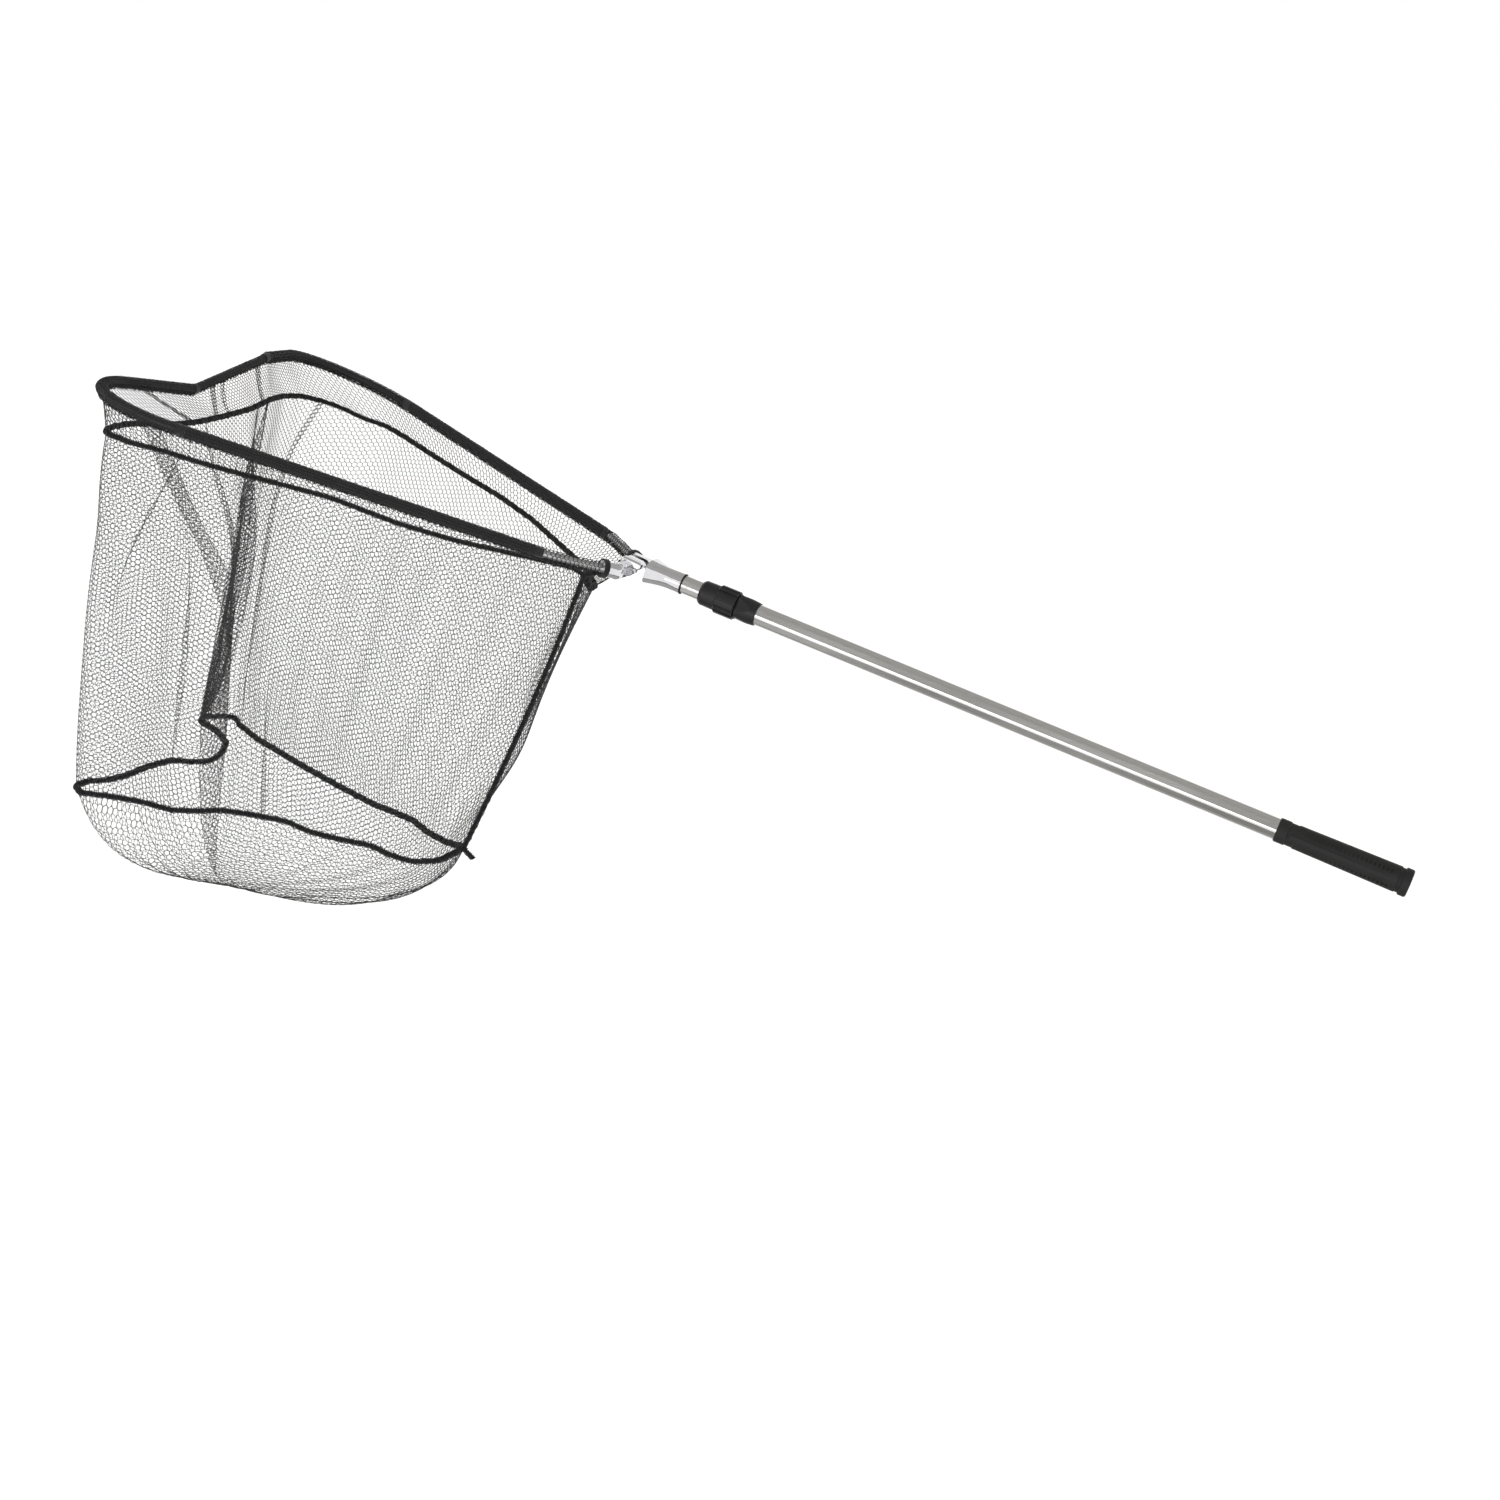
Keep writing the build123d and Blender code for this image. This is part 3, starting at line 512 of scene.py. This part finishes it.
shares = np.linspace(0, 1, 900)[:-1]
upper_seam = seam("seam_upper", upper.at(shares), 2.5 * MM)
bottom_seam = seam("seam_bottom", bottom.at(shares), 3.0 * MM, seed=2)
back_v = np.linspace(0, 1, 120)
back_path = wall_point(np.full(120, 0.001), back_v, np.full(120, 0.001))
tail = back_path[-1] + np.outer(np.linspace(0, 1, 8)[1:], np.array([15.0, -4.0, -7.0]) * MM)
back_seam = seam("seam_back", np.vstack([ring(26, 42, -8)[None], back_path, tail]),
                 2.7 * MM, closed=False, seed=4)


# ---------------------------------------------------------------- netting wrapped round the rods
def wrapped(name, path, radius, cell):
    """A sleeve of netting round a rod."""
    line = resampled(path, 2.0 * MM)
    length = (len(line) - 1) * 2.0
    round_about = 2 * math.pi * radius / MM
    around = max(3, int(round(round_about / cell)))
    cell = round_about / around
    flat, strands = honeycomb(length, round_about, cell, 60.0, cross=0.667)
    a, b = frames(line)
    at = np.clip(flat[:, 0] / 2.0, 0, len(line) - 1.001)
    i = at.astype(int)
    f = (at - i)[:, None]
    mid = line[i] * (1 - f) + line[i + 1] * f
    turn_at = flat[:, 1] / round_about * 2 * math.pi
    across = (a[i] * (1 - f) + a[i + 1] * f) * np.cos(turn_at)[:, None] + \
        (b[i] * (1 - f) + b[i + 1] * f) * np.sin(turn_at)[:, None]
    r = radius * (1 + 0.05 * np.sin(flat[:, 0] * 1.05) + rng.normal(0, 0.02, len(flat)))
    points = mid + across * r[:, None]
    return netting(name, points, strands, radius=0.42 * MM, knot=0.75 * MM)


hems = [
    wrapped("hem_left_arm", left_arm[4:6] + [ring(250, 180.6), ring(420, 261.9)], 5.75 * MM, HEM_CELL),
    wrapped("hem_right_arm", right_arm[4:6] + [mirrored([ring(250, 180.6)])[0], mirrored([ring(420,
                                                                                               261.9)])[0]],
            5.75 * MM, HEM_CELL),
    wrapped("hem_left_elbow", left_arm[:5], 5.6 * MM, 5.0),
    wrapped("hem_right_elbow", right_arm[:5], 5.6 * MM, 5.0),
    wrapped("hem_left_tip", left_tip, 5.5 * MM, HEM_CELL),
    wrapped("hem_right_tip", right_tip, 5.5 * MM, HEM_CELL),
    wrapped("hem_front", [left_tip[-1], right_tip[-1]], 4.2 * MM, HEM_CELL),
]

# Laced edge: a thread that runs under the rods and catches the band, which makes the scalloped edge
lace_path = edge.at(np.linspace(0.012, UNDER_HEAD - 0.012, 1400)) - RING_ABOVE * 5.9 * MM
lace_parts = [tube_arrays(resampled(lace_path, 2.0 * MM), 0.9 * MM, 6)]
for phase in (0.0, 2.1):
    lace_parts.append(tube_arrays(helix(lace_path, 1.9 * MM, 6.4 * MM, 9, phase, 0.35), 0.55 * MM, 4))
lace = joined("hem_lacing", lace_parts)

soft_pieces = [net_wall, net_band, net_bottom, upper_seam, bottom_seam, back_seam, lace, *hems]
for piece in soft_pieces:
    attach(piece, "frame")
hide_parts("net_wall")
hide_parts("net_band")
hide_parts("net_bottom")
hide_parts("upper_seam")
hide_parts("bottom_seam")
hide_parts("back_seam")


# ---------------------------------------------------------------- materials
def material(name, colour, roughness, metallic=0.0, sheen=0.0, coat=0.0, specular=0.5):
    made = bpy.data.materials.new(name)
    made.use_nodes = True
    shader = made.node_tree.nodes["Principled BSDF"]
    shader.inputs["Base Color"].default_value = (*colour, 1)
    shader.inputs["Roughness"].default_value = roughness
    shader.inputs["Metallic"].default_value = metallic
    shader.inputs["Sheen Weight"].default_value = sheen
    shader.inputs["Coat Weight"].default_value = coat
    shader.inputs["Specular IOR Level"].default_value = specular
    return made, made.node_tree.nodes, made.node_tree.links, shader


def grain(nodes, links, scale, stretch=(1, 1, 1), turn_y=0.0, detail=4.0, kind="noise"):
    """A texture's value in object space, at a real scale, stretched along chosen directions."""
    place = nodes.new("ShaderNodeTexCoord")
    mapping = nodes.new("ShaderNodeMapping")
    mapping.inputs["Rotation"].default_value = (0, turn_y, 0)
    mapping.inputs["Scale"].default_value = stretch
    links.new(place.outputs["Object"], mapping.inputs["Vector"])
    if kind == "noise":
        texture = nodes.new("ShaderNodeTexNoise")
        texture.inputs["Detail"].default_value = detail
        texture.inputs["Scale"].default_value = scale
        links.new(mapping.outputs["Vector"], texture.inputs["Vector"])
        return texture.outputs["Fac"]
    texture = nodes.new("ShaderNodeTexVoronoi")
    texture.inputs["Scale"].default_value = scale
    links.new(mapping.outputs["Vector"], texture.inputs["Vector"])
    return texture.outputs["Distance"]


def spread(nodes, links, value, low_out, high_out, low_in=0.3, high_in=0.7):
    node = nodes.new("ShaderNodeMapRange")
    node.inputs["From Min"].default_value = low_in
    node.inputs["From Max"].default_value = high_in
    node.inputs["To Min"].default_value = low_out
    node.inputs["To Max"].default_value = high_out
    links.new(value, node.inputs["Value"])
    return node.outputs["Result"]


def tint(nodes, links, value, dark, light):
    node = nodes.new("ShaderNodeMix")
    node.data_type = "RGBA"
    node.inputs["A"].default_value = (*dark, 1)
    node.inputs["B"].default_value = (*light, 1)
    links.new(value, node.inputs["Factor"])
    return node.outputs["Result"]


def bumped(nodes, links, shader, value, depth, strength=0.6):
    node = nodes.new("ShaderNodeBump")
    node.inputs["Distance"].default_value = depth
    node.inputs["Strength"].default_value = strength
    links.new(value, node.inputs["Height"])
    links.new(node.outputs["Normal"], shader.inputs["Normal"])


# Bright drawn aluminium: fine lines along the tube, a little colour and gloss variation
aluminium, nodes, links, shader = material("bright_aluminium", (0.74, 0.73, 0.71), 0.2, metallic=1.0)
lines = grain(nodes, links, 1.0, (1.5, 900, 900), -SLOPE, 3.0)
cloud = grain(nodes, links, 24.0, (0.25, 1, 1), -SLOPE, 3.0)
links.new(tint(nodes, links, lines, (0.62, 0.61, 0.59), (0.82, 0.815, 0.80)), shader.inputs["Base Color"])
links.new(spread(nodes, links, cloud, 0.13, 0.27), shader.inputs["Roughness"])
bumped(nodes, links, shader, lines, 0.00003, 0.35)

# Chrome plate with faint casting unevenness
chrome, nodes, links, shader = material("chrome_plate", (0.88, 0.88, 0.89), 0.07, metallic=1.0)
swell = grain(nodes, links, 95.0, (1, 1, 1), 0.0, 2.0)
fine = grain(nodes, links, 900.0, (1, 1, 1), 0.0, 3.0)
links.new(tint(nodes, links, swell, (0.70, 0.70, 0.72), (0.86, 0.86, 0.87)), shader.inputs["Base Color"])
links.new(spread(nodes, links, fine, 0.04, 0.13), shader.inputs["Roughness"])
bumped(nodes, links, shader, swell, 0.0006, 0.35)

# Bare aluminium of the arm tubes and steel of the hidden parts
dull, nodes, links, shader = material("satin_aluminium", (0.6, 0.6, 0.6), 0.38, metallic=1.0)
streak = grain(nodes, links, 300.0, (1, 1, 1), 0.0, 5.0)
links.new(tint(nodes, links, streak, (0.42, 0.42, 0.43), (0.72, 0.72, 0.72)), shader.inputs["Base Color"])
bumped(nodes, links, shader, streak, 0.00006, 0.4)

# Moulded lock plastic: fine spark-eroded texture, worn lighter at random
plastic, nodes, links, shader = material("moulded_black", (0.012, 0.012, 0.013), 0.42, specular=0.35)
spark = grain(nodes, links, 1500.0, (1, 1, 1), 0.0, 3.0)
patch = grain(nodes, links, 60.0, (1, 1, 1), 0.0, 3.0)
links.new(tint(nodes, links, patch, (0.006, 0.006, 0.007), (0.018, 0.018, 0.019)),
          shader.inputs["Base Color"])
links.new(spread(nodes, links, patch, 0.32, 0.5), shader.inputs["Roughness"])
bumped(nodes, links, shader, spark, 0.00006, 0.5)

# Rubber grip: slightly greasy matt black with a fine pebble
rubber, nodes, links, shader = material("grip_rubber", (0.014, 0.013, 0.013), 0.55, specular=0.3)
pebble = grain(nodes, links, 1300.0, kind="voronoi")
bloom = grain(nodes, links, 45.0, (1, 1, 1), 0.0, 4.0)
links.new(tint(nodes, links, bloom, (0.008, 0.008, 0.008), (0.022, 0.021, 0.021)),
          shader.inputs["Base Color"])
links.new(spread(nodes, links, bloom, 0.45, 0.66), shader.inputs["Roughness"])
bumped(nodes, links, shader, pebble, 0.00012, 0.5)

# Tip rods and woven arm covers
tip_black, nodes, links, shader = material("tip_black", (0.014, 0.014, 0.016), 0.4)
mark = grain(nodes, links, 220.0, (1, 1, 1), 0.0, 4.0)
links.new(tint(nodes, links, mark, (0.009, 0.009, 0.010), (0.026, 0.026, 0.030)), shader.inputs["Base Color"])
bumped(nodes, links, shader, mark, 0.0001, 0.4)

woven, nodes, links, shader = material("woven_cover", (0.016, 0.016, 0.018), 0.75, sheen=0.25, specular=0.3)
yarn = grain(nodes, links, 700.0, kind="voronoi")
fuzz = grain(nodes, links, 2200.0, (1, 1, 1), 0.0, 3.0)
links.new(tint(nodes, links, yarn, (0.028, 0.028, 0.031), (0.008, 0.008, 0.009)), shader.inputs["Base Color"])
links.new(spread(nodes, links, fuzz, 0.65, 0.85), shader.inputs["Roughness"])
bumped(nodes, links, shader, yarn, 0.0005, 0.7)

# Nylon strands and sewing thread
nylon, nodes, links, shader = material("nylon_strand", (0.020, 0.020, 0.022), 0.55, sheen=0.1, specular=0.35)
twist = grain(nodes, links, 1600.0, (1, 1, 1), 0.0, 3.0)
links.new(tint(nodes, links, twist, (0.012, 0.012, 0.013), (0.034, 0.034, 0.036)),
          shader.inputs["Base Color"])
links.new(spread(nodes, links, twist, 0.45, 0.65), shader.inputs["Roughness"])

thread_black, nodes, links, shader = material("seam_thread", (0.008, 0.008, 0.009),
                                              0.85, sheen=0.2, specular=0.2)
fibre = grain(nodes, links, 1900.0, (1, 1, 1), 0.0, 5.0)
links.new(tint(nodes, links, fibre, (0.004, 0.004, 0.005), (0.016, 0.016, 0.018)),
          shader.inputs["Base Color"])
bumped(nodes, links, shader, fibre, 0.0003, 0.7)

FINISH = {
    "outer_tube": aluminium, "inner_tube": aluminium,
    "lock_sleeve": chrome, "left_knuckle": chrome, "right_knuckle": chrome, "pivot_rivet": chrome,
    "left_rivet_washer": chrome, "right_rivet_washer": chrome,
    "head_core": dull, "core_pin": dull, "left_arm_tube": dull, "right_arm_tube": dull,
    "lock_collar": plastic, "lock_nut": plastic, "lock_spigot": plastic, "lock_wedge": plastic,
    "tube_plug": plastic, "sleeve_ring": rubber, "grip": rubber, "grip_end_cap": rubber,
    "left_tip": tip_black, "right_tip": tip_black,
    "left_arm_cover": woven, "right_arm_cover": woven, "left_tip_joint": woven, "right_tip_joint": woven,
    "front_cord": woven, "left_cord_end": woven, "right_cord_end": woven,
    "left_hem_binding": thread_black, "right_hem_binding": thread_black,
    "net_band": nylon, "net_wall": nylon, "net_bottom": nylon,
    "upper_seam": thread_black, "bottom_seam": thread_black, "back_seam": thread_black,
}
for name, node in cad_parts.items():
    for one in node.material_slots:
        one.material = FINISH[name]
    if not node.material_slots:
        node.data.materials.append(FINISH[name])

for piece in (net_wall, net_band, net_bottom, *hems):
    piece.data.materials.append(thread_black if piece in hems else nylon)
for piece in (upper_seam, bottom_seam, back_seam, lace):
    piece.data.materials.append(thread_black)

# ---------------------------------------------------------------- soft pieces get meshes of their own
for piece in (net_wall, net_band, net_bottom, upper_seam, bottom_seam, back_seam):
    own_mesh(piece)

# ---------------------------------------------------------------- studio
floor_z = low.z - 0.75
floor = new_mesh("floor", np.array([[-30, -30, floor_z], [30, -30, floor_z], [30, 30, floor_z], [-30, 30,
                                                                                                 floor_z]]),
                 np.array([[0, 1, 2, 3]]), False)
paper, nodes, links, shader = material("studio_paper", (0.93, 0.93, 0.93), 0.9, specular=0.1)
tooth = grain(nodes, links, 30.0, (1, 1, 1), 0.0, 3.0)
links.new(tint(nodes, links, tooth, (0.90, 0.90, 0.90), (0.93, 0.93, 0.93)), shader.inputs["Base Color"])
shader.inputs["Emission Color"].default_value = (1, 1, 1, 1)
shader.inputs["Emission Strength"].default_value = 0.32
floor.data.materials.append(paper)
floor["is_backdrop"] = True
floor.visible_glossy = False

world = bpy.data.worlds.new("studio")
bpy.context.scene.world = world
world.use_nodes = True
nodes, links = world.node_tree.nodes, world.node_tree.links
background = nodes["Background"]
place = nodes.new("ShaderNodeTexCoord")
split = nodes.new("ShaderNodeSeparateXYZ")
ramp = nodes.new("ShaderNodeValToRGB")
links.new(place.outputs["Generated"], split.inputs["Vector"])
height = nodes.new("ShaderNodeMapRange")
height.inputs["From Min"].default_value = -1.0
links.new(split.outputs["Z"], height.inputs["Value"])
links.new(height.outputs["Result"], ramp.inputs["Fac"])
stops = [(0.06, 0.42), (0.10, 0.10), (0.13, 1.0), (0.72, 1.0), (0.745, 0.10), (0.77, 0.46), (1.0, 0.40)]
ramp.color_ramp.elements[0].position, ramp.color_ramp.elements[1].position = stops[0][0], stops[-1][0]
for position, grey in stops[1:-1]:
    ramp.color_ramp.elements.new(position)
for stop, (position, grey) in zip(ramp.color_ramp.elements, stops):
    stop.color = (grey, grey * (0.985 if grey < 0.9 else 1.0), grey * (0.95 if grey < 0.9 else 1.0), 1)
links.new(ramp.outputs["Color"], background.inputs["Color"])
background.inputs["Strength"].default_value = 1.0


def softbox(name, place, target, width, height, power):
    data = bpy.data.lights.new(name, "AREA")
    data.shape, data.size, data.size_y, data.energy = "RECTANGLE", width, height, power
    lamp = bpy.data.objects.new(name, data)
    lamp.location = place
    lamp.rotation_mode = "QUATERNION"
    lamp.rotation_quaternion = (Vector(target) - Vector(place)).to_track_quat("-Z", "Y")
    bpy.context.scene.collection.objects.link(lamp)
    return lamp


softbox("key", (-1.1, -3.3, -0.25), (-0.6, 0, 0.05), 2.6, 0.8, 12)
softbox("fill", (-3.4, -2.4, 2.2), (-0.8, 0, 0), 1.6, 1.6, 14)

sky_data = bpy.data.lights.new("overhead", "SUN")
sky_data.energy, sky_data.angle = 0.9, math.radians(40)
sky = bpy.data.objects.new("overhead", sky_data)
bpy.context.scene.collection.objects.link(sky)
sky.visible_glossy = False
bpy.context.scene.view_settings.view_transform = "Standard"

low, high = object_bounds()
